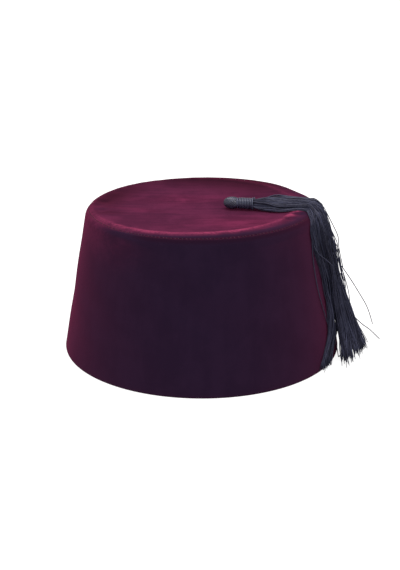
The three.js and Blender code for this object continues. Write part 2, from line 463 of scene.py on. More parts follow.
# places where the cloth is pushed out of line: direction, radius, their widths, and rise
dents = [
    {"angle": 171, "radius": 0.0655, "spread": 6.0, "width": 0.0035, "rise": -0.0010},
    {"angle": -170, "radius": 0.0665, "spread": 4.0, "width": 0.0028, "rise": -0.0009},
    {"angle": -34, "radius": 0.0665, "spread": 2.4, "width": 0.0030, "rise": -0.0011},
    {"angle": -28, "radius": 0.0645, "spread": 3.4, "width": 0.0028, "rise": 0.0010},
    {"angle": -22.5, "radius": 0.0670, "spread": 2.0, "width": 0.0040, "rise": -0.0008},
    {"angle": -18, "radius": 0.0660, "spread": 3.2, "width": 0.0030, "rise": 0.0009},
    {"angle": 28, "radius": 0.0760, "spread": 11.0, "width": 0.0080, "rise": -0.0010},
]


def patchShare(places, patches):
    spots = toOval(places)
    total = np.zeros(len(places))
    for (x, y), (along, across), share in patches:
        total += share * bell(spots[:, 0], x, along) * bell(spots[:, 1], y, across)
    return np.clip(total, 0, 1) * smoothStep(places[:, 2], *velvet["brushedHeights"])


# painted shade on the shoulder below the rim, fading out towards the left end
def shoulderShade(places):
    out = np.hypot(places[:, 0], places[:, 1]) - shoulderStart
    turn = np.degrees(np.arctan2(out, places[:, 2] - shoulderHeight))
    share = smoothStep(places[:, 0], *velvet["shoulderShadeFade"])
    return share * bell(turn, velvet["shoulderShadeMiddle"], velvet["shoulderShadeSpread"])


def dentShare(dent, angle, radius):
    away = np.degrees(turnBetween(angle, math.radians(dent["angle"])))
    return bell(away, 0, dent["spread"]) * bell(radius, dent["radius"], dent["width"])


def raised(points, rise):
    return points + np.stack([np.zeros_like(rise), np.zeros_like(rise), rise], -1)


def settleCloth(points):  # lifts the ridge, pushes in the dents, then makes the oval and the lean
    angle = np.arctan2(points[:, 1], points[:, 0])
    radius = np.hypot(points[:, 0], points[:, 1])
    rise = sum(dent["rise"] * dentShare(dent, angle, radius) for dent in dents)
    waves = ripple(angle, top["waveCounts"], top["waveSeed"])
    gathers = ripple(angle, top["gatherCounts"], top["gatherSeed"])
    rise += top["unevenness"] * waves * bell(radius, *top["unevenBand"])
    rise += top["gatherDepth"] * gathers * bell(radius, *top["gatherBand"])
    rise += top["ridgeHeight"] * bell(radius - ridgeRadius(angle), 0, top["ridgeWidth"])
    return toLean(toOval(raised(points, rise)))


seam = {
    "roll": 0.0004,  # radius of the turned edge on each side
    "gap": 0.00002,
    "stitchPitch": 0.0025,
    "stitchLength": 0.0016,
    "stitchWidth": 0.00055,
    "slant": 24,
    "sunk": 0.0001,  # below the shoulder's outer face
    "pitchJitter": 0.12,
    "slantJitter": 7,
    "lengthRange": (0.85, 1.1),
    "seed": 21,
    "wearAndHighlight": 0.20,
    "wearAndHighlightWidth": 0.0010,
    "rollSteps": 5,
    "bendSteps": 8,  # rows of the shoulder on either side of the seam, outside and inside
    "innerSteps": 3,
}


def seamEdge(side):  # the turned edge: side is 1 on the wall below the seam, -1 on the top
    reach = hat["shoulder"]
    rollTurn = seamTurn + side * (seam["roll"] + seam["gap"] / 2) / (reach - seam["roll"])
    endTurn = seamTurn + side * seam["gap"] / 2 / (reach - hat["cloth"])
    centre = shoulderPoint(rollTurn, seam["roll"])
    out = math.pi / 2 - rollTurn
    roll = arc(centre, seam["roll"], out, out + side * math.pi / 2, seam["rollSteps"])
    return rollTurn, roll + [shoulderPoint(endTurn, hat["cloth"])]


def seamWear(places):
    radius, height = shoulderPoint(seamTurn, 0)
    away = np.hypot(np.hypot(places[:, 0], places[:, 1]) - radius, places[:, 2] - height)
    return seam["wearAndHighlight"] * bell(away, 0, seam["wearAndHighlightWidth"])


def pileLieAndLight(places):  # brushed flat on the top with painted sheen, standing from a little way past its ridge, painted shade below the rim
    angle = np.arctan2(places[:, 1], places[:, 0])
    pastRidge = np.hypot(places[:, 0], places[:, 1]) - ridgeRadius(angle)
    standing = smoothStep(pastRidge, top["standStart"], top["standEnd"])
    lie = np.maximum(top["lie"], standing) - patchShare(places, paleAndLitPatches)
    return np.maximum(lie, 0) + shoulderShade(places) * standing


def pileWearAndHighlight(places):  # rubbed and painted highlight along the ridge, painted highlight on raised dents and painted shade in sunken ones, rubbed at the seam and at the lower rim
    angle = np.arctan2(places[:, 1], places[:, 0])
    radius = np.hypot(places[:, 0], places[:, 1])
    # the ridge band is rubbed pile and a painted highlight, stronger towards the front
    wearAndHighlight = bell(radius - ridgeRadius(angle), 0, top["wearAndHighlightWidth"])
    wearAndHighlight *= top["wearAndHighlightMean"] - top["wearAndHighlightGain"] * np.sin(angle)
    waves = ripple(angle, top["wearAndHighlightCounts"], top["wearAndHighlightSeed"])
    wearAndHighlight *= 1 + top["wearAndHighlightUneven"] * (waves - 1)
    for place, spread, share in top["wearAndHighlightBreaks"]:
        wearAndHighlight *= 1 - share * bell(np.degrees(turnBetween(angle, math.radians(place))), 0, spread)
    # raised dents get a painted highlight and sunken dents painted shade
    for dent in dents:
        wearAndHighlight += math.copysign(top["dentHighlightAndShade"], dent["rise"]) * dentShare(dent, angle, radius)
    hemWear = side["rimWear"] * bell(places[:, 2], 0, side["rimWearWidth"])
    return np.clip(wearAndHighlight, 0, 1) + seamWear(places) + hemWear


def addVelvet(shape, name, places, node):
    mesh = bpy.data.meshes.new(name)
    shape.to_mesh(mesh)
    shape.free()
    setPointValues(mesh, "lie", pileLieAndLight(places))
    setPointValues(mesh, "wearAndHighlight", pileWearAndHighlight(places))
    setPointValues(mesh, "shade", patchShare(places, shadedPatches))
    addPiece(mesh, [wineVelvet, backingCloth], node)


side = {
    "aroundSteps": 360,
    "wallRows": 30,
    "hemSteps": 10,
    "insideFacing": -0.3,  # faces that look inward more than this show the backing
    "unevenness": 0.00028,
    "waveCounts": (3, 5, 7, 11),
    "waveSeed": 11,
    "waveTwist": 1.5,  # how far the waves go round on their way up
    "waveEase": 0.7,
    "rimWear": 0.10,
    "rimWearWidth": 0.0025,
}


def buildSide():
    thickness = hat["cloth"]
    fold = thickness / 2  # the cloth turns in at the lower rim
    wallWidth = thickness / math.cos(sideSlope)
    foldCentre = (sideRadius(fold) - wallWidth / 2, fold)
    hem = arc(foldCentre, fold, sideSlope - math.pi, sideSlope, side["hemSteps"])
    rollTurn, edge = seamEdge(1)
    bend = shoulderArc(shoulderTurn, rollTurn, 0, seam["bendSteps"])
    start, end = hem[-1], bend[0]
    rows = [i / side["wallRows"] for i in range(1, side["wallRows"])]
    wall = [(start[0] + (end[0] - start[0]) * s, start[1] + (end[1] - start[1]) * s) for s in rows]
    inner = shoulderArc(rollTurn, shoulderTurn, thickness, seam["innerSteps"])
    profile = hem + wall + bend + edge[1:] + inner[1:]
    shape = spinProfile([(r, 0, z) for r, z in profile], side["aroundSteps"], True)

    for face in shape.faces:
        centre = face.calc_center_median()
        radius = math.hypot(centre.x, centre.y)
        facing = (face.normal.x * centre.x + face.normal.y * centre.y) / radius
        face.material_index = int(facing < side["insideFacing"])
    clothMap(shape)
    places = placesOf(shape)

    def settle(points):  # slightly uneven cloth, true at the rim and the seam
        angle = np.arctan2(points[:, 1], points[:, 0])
        share = np.clip(points[:, 2] / shoulderPoint(seamTurn, thickness)[1], 0, 1)
        waves = ripple(angle + side["waveTwist"] * share, side["waveCounts"], side["waveSeed"])
        swell = side["unevenness"] * waves * np.sin(math.pi * share) ** side["waveEase"]
        factor = 1 + swell / np.hypot(points[:, 0], points[:, 1])
        return settleCloth(points * np.stack([factor, factor, np.ones_like(factor)], -1))

    reshape(shape, settle)
    addVelvet(shape, "velvet_side", places, "side_wall")


top = {
    "aroundSteps": 360,
    "flatRows": 40,
    "insideFacing": -0.2,
    "dish": ((0, 0.0021), (0.028, 0.0019), (0.048, 0.0014), (0.058, 0.00075), (0.066, 0)),
    "ridgeRadius": 0.0676,
    "ridgeShift": 0.0054,  # the ridge lies further out on the left than on the right
    "ridgeWidth": 0.0020,
    "ridgeHeight": 0.0006,
    "wearAndHighlightWidth": 0.0026,
    "wearAndHighlightMean": 0.55,  # rubbed pile and painted highlight of the rim at the sides, and how much more of it there is in front
    "wearAndHighlightGain": 0.42,
    "wearAndHighlightBreaks": ((190, 45, 0.55), (-42, 15, 0.4)),  # where the rim is less rubbed and has less painted highlight
    "wearAndHighlightUneven": 0.15,
    "wearAndHighlightCounts": (5, 9, 14, 22),
    "wearAndHighlightSeed": 3,
    "dentHighlightAndShade": 0.7,
    "standStart": 0.0014,  # past the ridge the pile turns to stand as it does on the side
    "standEnd": 0.0066,
    # the top's share of standing colour; the brushed rest carries painted sheen
    "lie": 0.595,
    "unevenness": 0.0003,
    "unevenBand": (0.045, 0.02),  # mean radius and width of the band that is uneven
    "waveCounts": (2, 3, 5, 8),
    "waveSeed": 5,
    "gatherCounts": (23, 31, 37, 44),
    "gatherDepth": 0.00018,
    "gatherBand": (0.0685, 0.0035),
    "gatherSeed": 8,
}
dishLine = smoothLine(np.array([top["dish"]]), [8] * (len(top["dish"]) - 1))[0]


def topHeight(radius):  # outer face of the top without its ridge, out to the start of the shoulder
    return hat["height"] - np.interp(radius, dishLine[:, 0], dishLine[:, 1])


def ridgeRadius(angle):
    return top["ridgeRadius"] - top["ridgeShift"] * np.cos(angle)


def buildTop():
    thickness = hat["cloth"]
    rollTurn, edge = seamEdge(-1)
    flat = np.linspace(0, shoulderStart, top["flatRows"])[:-1]
    upper = [(r, float(topHeight(r))) for r in flat]
    bend = shoulderArc(0, rollTurn, 0, seam["bendSteps"])
    inner = shoulderArc(rollTurn, 0, thickness, seam["innerSteps"])
    under = [(r, float(topHeight(r)) - thickness) for r in flat[::-3]]
    under.append((0, upper[0][1] - thickness))
    profile = upper + bend + edge[1:] + inner[1:] + under
    shape = spinProfile([(r, 0, z) for r, z in profile], top["aroundSteps"], False)
    for face in shape.faces:
        face.material_index = int(face.normal.z < top["insideFacing"])
    clothMap(shape)
    places = placesOf(shape)
    reshape(shape, settleCloth)
    addVelvet(shape, "velvet_top", places, "crown_top")


def buildStitches():
    shape = bmesh.new()
    bmesh.ops.create_icosphere(shape, subdivisions=1, radius=0.5)
    unit = placesOf(shape)
    faces = np.array([[vert.index for vert in face.verts] for face in shape.faces])
    shape.free()

    radius, height = shoulderPoint(seamTurn, seam["sunk"])
    count = round(math.tau * radius / seam["stitchPitch"])
    rng = np.random.default_rng(seam["seed"])
    shift, tilt = seam["pitchJitter"], seam["slantJitter"]
    angles = (np.arange(count) + rng.uniform(-shift, shift, count)) * math.tau / count
    slants = np.radians(seam["slant"] + rng.uniform(-tilt, tilt, count))
    lengths = seam["stitchLength"] * rng.uniform(*seam["lengthRange"], count)
    level = np.stack([-np.sin(angles), np.cos(angles), np.zeros(count)], -1)
    away = np.stack([np.cos(angles), np.sin(angles), np.zeros(count)], -1)
    outward = away * math.sin(seamTurn) + [0, 0, math.cos(seamTurn)]
    across = np.cross(level, outward)
    along = across * np.cos(slants)[:, None] + level * np.sin(slants)[:, None]
    beside = np.cross(outward, along)
    middle = away * radius + [0, 0, height]
    places = (
        middle[:, None]
        + along[:, None] * (unit[None, :, :1] * lengths[:, None, None])
        + beside[:, None] * unit[None, :, 1:2] * seam["stitchWidth"]
        + outward[:, None] * unit[None, :, 2:] * seam["stitchWidth"]
    )
    rings = faces[None] + (np.arange(count) * len(unit))[:, None, None]
    mesh = bpy.data.meshes.new("seam_stitches")
    mesh.from_pydata(settleCloth(places.reshape(-1, 3)).tolist(), [], rings.reshape(-1, 3).tolist())
    addPiece(mesh, [wineStitching])


buildSide()
buildTop()
buildStitches()
print("velvet side, top and seam made")


# the tassel's own axis runs from the knob's free end, on the top
tassel = {
    "start": (0.016, -0.0044),
    "turn": -10,
    "headLength": 0.011,
    "headRadius": 0.0045,
    "throat": 0.0034,
    "gap": 0.0003,
    "bindingLength": 0.012,
    "bindingRadius": 0.0042,
}
axisHeight = float(topHeight(top["dish"][1][0])) + tassel["gap"] + tassel["headRadius"]
bindingStart = tassel["headLength"] + tassel["gap"]
bindingEnd = bindingStart + tassel["bindingLength"]


def placeTassel(points):  # from the tassel's own axis to its place on the top
    turn = math.radians(tassel["turn"])
    x, y, z = points[:, 0], points[:, 1], points[:, 2]
    return np.stack([
        tassel["start"][0] + x * math.cos(turn) - y * math.sin(turn),
        tassel["start"][1] + x * math.sin(turn) + y * math.cos(turn),
        axisHeight + z,
    ], -1)


def addWound(shapes, tones, name, node):  # shapes about the tassel's axis, joined in one piece
    mesh = bpy.data.meshes.new(name)
    whole = bmesh.new()
    for shape in shapes:
        layer = shape.loops.layers.uv.new("thread")
        for face in shape.faces:
            for loop in face.loops:
                x, y, z = loop.vert.co
                loop[layer].uv = (math.atan2(z, y) / math.tau, x)
        shape.to_mesh(mesh)
        shape.free()
        whole.from_mesh(mesh)
    reshape(whole, lambda points: toLean(placeTassel(points)))
    whole.to_mesh(mesh)
    whole.free()
    setPointValues(mesh, "tone", np.concatenate(tones))
    addPiece(mesh, [woundThread], node)


winding = {
    "threadSides": 8,
    "turnSteps": 40,
}


def windThread(turns, start, radius, size):  # a helix of thread about the tassel's axis
    shape = bmesh.new()
    sides, turnSteps = winding["threadSides"], winding["turnSteps"]
    made = bmesh.ops.create_circle(shape, cap_ends=False, segments=sides, radius=size)
    for vert in made["verts"]:
        vert.co = (start + vert.co.x, 0, radius + vert.co.y)
    ring = made["verts"] + list({edge for vert in made["verts"] for edge in vert.link_edges})
    bmesh.ops.spin(
        shape, geom=ring, cent=(0, 0, 0), axis=(1, 0, 0), dvec=(2 * size / turnSteps, 0, 0),
        angle=math.tau * turns, steps=turnSteps * turns,
    )
    bmesh.ops.holes_fill(shape, edges=[edge for edge in shape.edges if edge.is_boundary])
    bmesh.ops.recalc_face_normals(shape, faces=shape.faces)
    return shape


knob = {
    "threads": 20,
    "twist": 110,  # degrees that a thread goes round between the tip and the throat
    "threadDepth": 0.0007,
    "threadTones": (0.0, 0.7),
    "grooveShade": 0.7,
    "seed": 41,
    "aroundSteps": 240,
    "rows": 36,
    "tieTurns": 1,
    "tieThread": 0.0007,
    "tiePlace": 0.8,  # in thread sizes before the throat's end
    # the tie is painted paler than the knob, a painted glint at the throat
    "tieGlintTone": 1.7,
}


def buildKnob():
    length, fullRadius = tassel["headLength"], tassel["headRadius"]
    throatTurn = math.pi - math.asin(tassel["throat"] / fullRadius)
    half = length / (1 - math.cos(throatTurn))
    turns = np.linspace(0, throatTurn, knob["rows"] + 1)
    profile = [(half * (1 - math.cos(t)), 0, fullRadius * math.sin(t)) for t in turns]
    shape = spinProfile(profile + [(length, 0, 0)], knob["aroundSteps"], False, (1, 0, 0))

    def threadPlace(points):  # counts the threads round the knob
        twist = math.radians(knob["twist"]) * points[:, 0] / length
        angle = np.arctan2(points[:, 2], points[:, 1]) + twist
        return (angle * knob["threads"] / math.tau) % knob["threads"]

    def grooves(points):
        return 1 - np.sqrt(np.clip(1 - (2 * (threadPlace(points) % 1) - 1) ** 2, 0, 1))

    def wind(points):
        radius = np.hypot(points[:, 1], points[:, 2])
        depth = knob["threadDepth"] * grooves(points) * np.clip(radius / fullRadius, 0, 1)
        factor = 1 - depth / np.maximum(radius, 1e-6)
        return points * np.stack([np.ones_like(factor), factor, factor], -1)

    rng = np.random.default_rng(knob["seed"])
    threadTones = rng.uniform(*knob["threadTones"], knob["threads"])
    places = placesOf(shape)
    tone = threadTones[threadPlace(places).astype(int)]
    tone *= 1 - knob["grooveShade"] * grooves(places)
    reshape(shape, wind)
    tieSize = knob["tieThread"]
    tieStart = length - knob["tiePlace"] * tieSize
    tie = windThread(knob["tieTurns"], tieStart, tassel["throat"], tieSize)
    tones = [tone, np.full(len(tie.verts), knob["tieGlintTone"])]
    addWound([shape, tie], tones, "tassel_knob", "tassel_head")


whipping = {
    "turns": 9,
    "lastTurns": 1,
    "lastSize": 0.00055,
    "tone": 0.7,
    # the last turn is painted paler, a painted highlight at the end of the whipping
    "lastGlintTone": 1.8,
}


def buildWhipping():
    size = tassel["bindingLength"] / (whipping["turns"] + 1) / 2
    neck = windThread(whipping["turns"], bindingStart + size, tassel["bindingRadius"] - size, size)
    lastSize = whipping["lastSize"]
    lastStart = bindingEnd - (2 * whipping["lastTurns"] + 1) * lastSize
    last = windThread(whipping["lastTurns"], lastStart, tassel["bindingRadius"], lastSize)
    tones = [
        np.full(len(neck.verts), whipping["tone"]),
        np.full(len(last.verts), whipping["lastGlintTone"]),
    ]
    addWound([neck, last], tones, "tassel_whipping", "tassel_binding")


buildKnob()
buildWhipping()
print("tassel knob and whipping made")


skirt = {
    "strandsPerTuft": 7,
    "strandRadius": 0.00027,
    "strandSizes": (0.85, 1.2),
    "strandSides": 6,
    "tipTaper": 0.55,
    "tuftRadius": 0.00056,
    "tuftReach": (0.75, 1.25),
    "tuftTwist": 0.8,  # turns from the neck to the tip
    "tuftTone": 0.5,  # share of a strand's tone that its whole tuft has
    # shares of the way from the neck to the tip, and how wide a tuft is there
    "loosenAlong": ((0, 0.6), (0.1, 1), (0.4, 1), (0.65, 1.84), (1, 2.3)),
    "lockWidth": 0.0066,
    "lockThickness": 0.0027,
    "clearance": 0.00045,
    "velvetGap": 0.0001,
    "tuck": 0.004,  # how far the strands go on inside the whipping
    "neckRadius": 0.0031,
    "laneMiddle": -0.0064,
    "laneReach": 0.0115,
    "fanSpread": 0.95,
    "fanReach": 0.73,
    "fanSink": 0.001,
    "rimPress": 0.1,
    "sidePress": 0.65,
    "edgePress": 0.8,  # how much thinner the bundle is at its edges where it crosses the rim
    "backPress": 0.3,
    "rimShares": (0, 0.3, 0.65, 1),
    "rimSweep": 0.6,
    "frontSink": 0.6,  # how deep in the lower layer its front edge lies
    "frontDrop": 0.8,  # how far the upper layer sinks to the lower one along the front edge
    "sideShares": (0.84, 0.56, 0.24),  # heights of the upper, middle and low places on the side
    "upperLift": 0.85,
    "flareShare": 0.22,
    "acrossShake": 0.12,
    "turnShakes": (0.4, 1.0, 1.1, 0.8),  # degrees at the upper, middle, low and end places
    "standShakes": (0.0004, 0.0007, 0.0009),
    "crimp": 0.00024,
    "crimpAlong": ((0, 0), (0.04, 0), (0.12, 1.1), (0.35, 0.6), (0.5, 0.7), (1, 1.3)),
    "crimpCounts": (3, 5, 9),
    "wander": 0.00036,
    "wanderAlong": ((0, 0), (0.1, 0.5), (0.35, 0.6), (0.5, 1), (1, 1.6)),
    "wanderCounts": (1.5, 3.5),
    "ragged": (0.021, 0.032),  # share of its length by which a strand of each layer may end early
    "seeds": (31, 32),
    "spanSteps": (2, 7, 6, 3, 3, 3, 4, 7, 6, 6),
}
# locks in millimetres and degrees: Y on the rim, layer, directions round the hat from the shoulder
# down to the tip, distances out from the side, height of the tip, share of the width there,
# tone, lowered on the front locks as painted shade, and number of tufts
lockColumns = (
    "lane", "layer", "upper", "mid", "low", "end",
    "midStand", "lowStand", "endStand", "tip", "swell", "tone", "tufts",
)
locks = [
    (-15.3, 0, -25, -17.8, -21.2, -34.5, 2.2, 2.4, 2, 0.3, 0.5, 0.6, 5),
    (-11.9, 0, -20, -14.6, -16.4, -31, 2.4, 2.6, 2.4, 0.6, 0.6, 0.75, 5),
    (-8.3, 0, -15, -12.5, -16, -24.5, 3, 6.5, 12.5, 2.5, 0.8, 1, 5),
    (-4.7, 0, -9.5, -9, -13.5, -20.5, 3.2, 6.8, 11.5, 2.5, 0.8, 1, 5),
    (-1.1, 0, -4, -5, -8.5, -13, 3.2, 7.5, 13.5, 2.5, 0.8, 1, 5),
    (2.5, 0, 2, 0, -3, -7.5, 3, 8, 14, 2.5, 0.8, 1, 5),
    (-12.3, 1, -19.5, -14, -18.5, -27, 5, 9.8, 15, 2.5, 0.7, 0.85, 5),
    (-8.7, 1, -14, -11.5, -16, -23, 5.5, 11.2, 17, 2, 0.7, 1, 5),
    (-5.1, 1, -8, -8, -12, -17.5, 6, 12.6, 18.5, 1, 0.8, 1, 5),
    (-1.5, 1, -2, -4, -8, -12, 6.3, 14, 20.5, 0.8, 0.8, 1, 5),
    (1.7, 1, 3, 0, -5, -7.5, 6.3, 13.4, 23, 0.8, 0.8, 1, 5),
]
millimetre = 0.001


def offHat(points, gap):  # pushes points out until they are clear of the velvet and the floor
    angle, radius = fromOval(points)
    height = np.maximum(points[..., 2], gap)
    onTop = radius < shoulderStart
    height = np.where(onTop, np.maximum(height, topHeight(radius) + gap), height)
    out, up = radius - shoulderStart, height - shoulderHeight
    grow = np.maximum(1, (hat["shoulder"] + gap) / np.maximum(np.hypot(out, up), 1e-6))
    onShoulder = ~onTop & (np.arctan2(out, up) < shoulderTurn) & (up > 0)
    wall = np.maximum(radius, sideRadius(height) + gap / math.cos(sideSlope))
    radius = np.where(onShoulder, shoulderStart + out * grow, np.where(onTop, radius, wall))
    height = np.where(onShoulder, shoulderHeight + up * grow, height)
    return around(angle, radius, height)


def crossways(lines):  # directions across each line, beside it and outward
    tangent = np.gradient(lines, axis=1)
    tangent /= np.linalg.norm(tangent, axis=2, keepdims=True)
    level = np.stack([-lines[..., 1], lines[..., 0], np.zeros(lines.shape[:2])], -1)
    outward = np.cross(tangent, level)
    outward /= np.linalg.norm(outward, axis=2, keepdims=True)
    return np.cross(outward, tangent), outward


def addStrands(lines, sizes, tones, name, node=None):
    count, steps = lines.shape[:2]
    sides = skirt["strandSides"]
    beside, outward = crossways(lines)
    turns = (np.arange(sides) * math.tau / sides)[None, None, :, None]
    ring = beside[:, :, None] * np.cos(turns) + outward[:, :, None] * np.sin(turns)
    taper = np.ones(steps)
    taper[-1] = skirt["tipTaper"]
    places = lines[:, :, None] + ring * (sizes[:, None] * taper)[:, :, None, None]

    index = np.arange(count * steps * sides).reshape(count, steps, sides)
    nextSide = np.roll(index, -1, axis=2)
    walls = np.stack([index[:, :-1], nextSide[:, :-1], nextSide[:, 1:], index[:, 1:]], -1)
    caps = index[:, 0, ::-1].tolist() + index[:, -1].tolist()
    mesh = bpy.data.meshes.new(name)
    mesh.from_pydata(toLean(places).reshape(-1, 3), [], walls.reshape(-1, 4).tolist() + caps)
    setPointValues(mesh, "tone", np.broadcast_to(tones[:, None, None], index.shape))

    along = np.cumsum(np.linalg.norm(np.diff(lines, axis=1, prepend=lines[:, :1]), axis=2), axis=1)
    corners = np.zeros((*walls.shape, 2), np.float32)
    corners[..., 0] = (np.arange(sides)[:, None] + [0, 1, 1, 0]) / sides
    corners[..., :2, 1] = along[:, :-1, None, None]
    corners[..., 2:, 1] = along[:, 1:, None, None]
    layer = mesh.uv_layers.new(name="thread")
    capCorners = np.zeros(4 * count * sides, np.float32)
    layer.data.foreach_set("uv", np.concatenate([corners.ravel(), capCorners]))
    addPiece(mesh, [looseThread], node)


def sizesAlong(size, table, steps):
    return size * np.interp(np.linspace(0, 1, steps), *zip(*table))


def addWaves(lines, sizes, counts, rng):  # each line wavers in its own way
    share = np.linspace(0, 1, lines.shape[1])[:, None]
    for waves in counts:
        phase = rng.uniform(0, math.tau, (len(lines), 1, 3))
        lines = lines + np.sin(share * waves * math.tau + phase) * sizes[:, None]
    return lines


def layTufts(layer, rng):  # the line of each tuft: out of the whipping, over the rim, down the side
    table = np.array([lock for lock in locks if lock[1] == layer], float)
    counts = table[:, -1].astype(int)
    row = dict(zip(lockColumns, np.repeat(table, counts, axis=0).T))
    total = counts.sum()

    def shake(spread):
        return rng.normal(0, spread, total)

    across = np.concatenate([np.linspace(-1, 1, n) for n in counts])
    across += shake(skirt["acrossShake"])
    depth = rng.uniform(-1, 1, total)
    sideways = across * (skirt["lockWidth"] / 2 - skirt["tuftRadius"])
    lane = row["lane"] * millimetre + sideways
    sideShare = np.clip((lane - skirt["laneMiddle"]) / skirt["laneReach"], -1, 1)
    if layer == 0:  # the front edge lies close on the velvet
        front = np.clip(-sideShare, 0, 1) ** 3
        depth = depth * (1 - front) - skirt["frontSink"] * front
    deep = depth * (skirt["lockThickness"] / 2 - skirt["tuftRadius"])
    turned = np.degrees(sideways / sideRadius(hat["height"] / 2))
    shakes = [shake(spread) for spread in skirt["turnShakes"] + skirt["standShakes"]]
    upper = np.radians(row["upper"] + turned + shakes[0])
    mid = np.radians(row["mid"] + turned + shakes[1])
    low = np.radians(row["low"] + turned + shakes[2])
    end = np.radians(row["end"] + turned * row["swell"] + shakes[3])
    midStand = row["midStand"] * millimetre + deep + shakes[4]
    lowStand = row["lowStand"] * millimetre + deep + shakes[5]
    endStand = row["endStand"] * millimetre + deep * row["swell"] + shakes[6]

    def lift(layerShare):
        return skirt["clearance"] + skirt["lockThickness"] * (layer * layerShare + 0.5) + deep

    drop = skirt["frontDrop"] * layer * np.minimum(sideShare, 0) ** 2
    riseShare = layer - 0.5 + depth / 2 - drop / 2
    neck = np.stack([
        np.full(total, bindingEnd),
        skirt["neckRadius"] * sideShare * np.sqrt(1 - riseShare ** 2 / 2),
        skirt["neckRadius"] * riseShare * np.sqrt(1 - sideShare ** 2 / 2),
    ], -1)
    rim = []
    rimAngle = np.arcsin(lane / (shoulderStart - ovalOffset))
    for share in skirt["rimShares"]:
        press = skirt["rimPress"] + (skirt["sidePress"] - skirt["rimPress"]) * share ** 2
        press = press * (1 - skirt["edgePress"] * (1 - share / 2) * sideShare ** 2)
        thinner = skirt["backPress"] * skirt["lockThickness"] * np.maximum(sideShare, 0) ** 2
        radius, height = shoulderPoint(share * shoulderTurn, thinner - lift(press))
        angle = rimAngle + (upper - rimAngle) * share ** skirt["rimSweep"]
        rim.append(around(angle, radius, height))
    fan = np.stack([
        rim[0][:, 0] * skirt["fanReach"],
        lane * skirt["fanSpread"],
        hat["height"] + lift(1 - drop) - skirt["fanSink"],
    ], -1)
    upperHeight, midHeight, lowHeight = (hat["height"] * share for share in skirt["sideShares"])
    upperStand = lift(skirt["upperLift"]) + skirt["flareShare"] * midStand
    points = np.stack([
        placeTassel(neck - [skirt["tuck"], 0, 0]),
        placeTassel(neck),
        fan,
        *rim,
        onSide(upper, upperHeight, upperStand),
        onSide(mid, midHeight, midStand),
        onSide(low, lowHeight, lowStand),
        onSide(end, row["tip"] * millimetre, endStand),
    ], 1)
    lines = smoothLine(points, skirt["spanSteps"])
    sizes = sizesAlong(skirt["crimp"], skirt["crimpAlong"], lines.shape[1])
    return addWaves(lines, sizes, skirt["crimpCounts"], rng), row["tone"]


# the strands of each tuft: one in the middle, the rest twisted round it
def teaseOut(tufts, ragged, rng):
    count, steps = skirt["strandsPerTuft"], tufts.shape[1]
    share = np.linspace(0, 1, steps)
    spread = sizesAlong(skirt["tuftRadius"], skirt["loosenAlong"], steps)
    outer = np.concatenate([[0], np.ones(count - 1)])[None, :, None]
    reach = outer * spread * rng.uniform(*skirt["tuftReach"], (len(tufts), count, 1))
    place = np.arange(count)[None, :, None] / (count - 1)
    turn = rng.uniform(0, 1, (len(tufts), 1, 1)) + place + skirt["tuftTwist"] * share
    beside, outward = (way[:, None] for way in crossways(tufts))
    aside = (reach * np.cos(math.tau * turn))[..., None]
    out = (reach * np.sin(math.tau * turn))[..., None]
    lines = (tufts[:, None] + beside * aside + outward * out).reshape(-1, steps, 3)
    sizes = sizesAlong(skirt["wander"], skirt["wanderAlong"], steps)
    lines = addWaves(lines, sizes, skirt["wanderCounts"], rng)

    early = np.repeat(rng.uniform(0, 1, len(tufts)), count) + 1 - rng.uniform(0, 1, len(lines)) ** 3
    ends = 1 - ragged * early / 2
    trimmed = []
    for line, end in zip(lines, ends):
        trimmed.append(np.stack([np.interp(share * end, share, way) for way in line.T], -1))
    return np.array(trimmed)


def buildSkirt(layer, name):
    rng = np.random.default_rng(skirt["seeds"][layer])
    tufts, lockToneAndShade = layTufts(layer, rng)
    lines = teaseOut(tufts, skirt["ragged"][layer], rng)
    lines = offHat(lines, skirt["strandRadius"] + skirt["velvetGap"])
    sizes = skirt["strandRadius"] * rng.uniform(*skirt["strandSizes"], len(lines))
    tones = skirt["tuftTone"] * np.repeat(rng.uniform(0, 1, len(tufts)), skirt["strandsPerTuft"])
    tones += (1 - skirt["tuftTone"]) * rng.uniform(0, 1, len(lines))
    # the front locks are darkened, as painted shade
    tones *= np.repeat(lockToneAndShade, skirt["strandsPerTuft"])
    addStrands(lines, sizes, tones, name, "tassel_skirt")


buildSkirt(0, "tassel_under_threads")
buildSkirt(1, "tassel_over_threads")
print("tassel threads made")


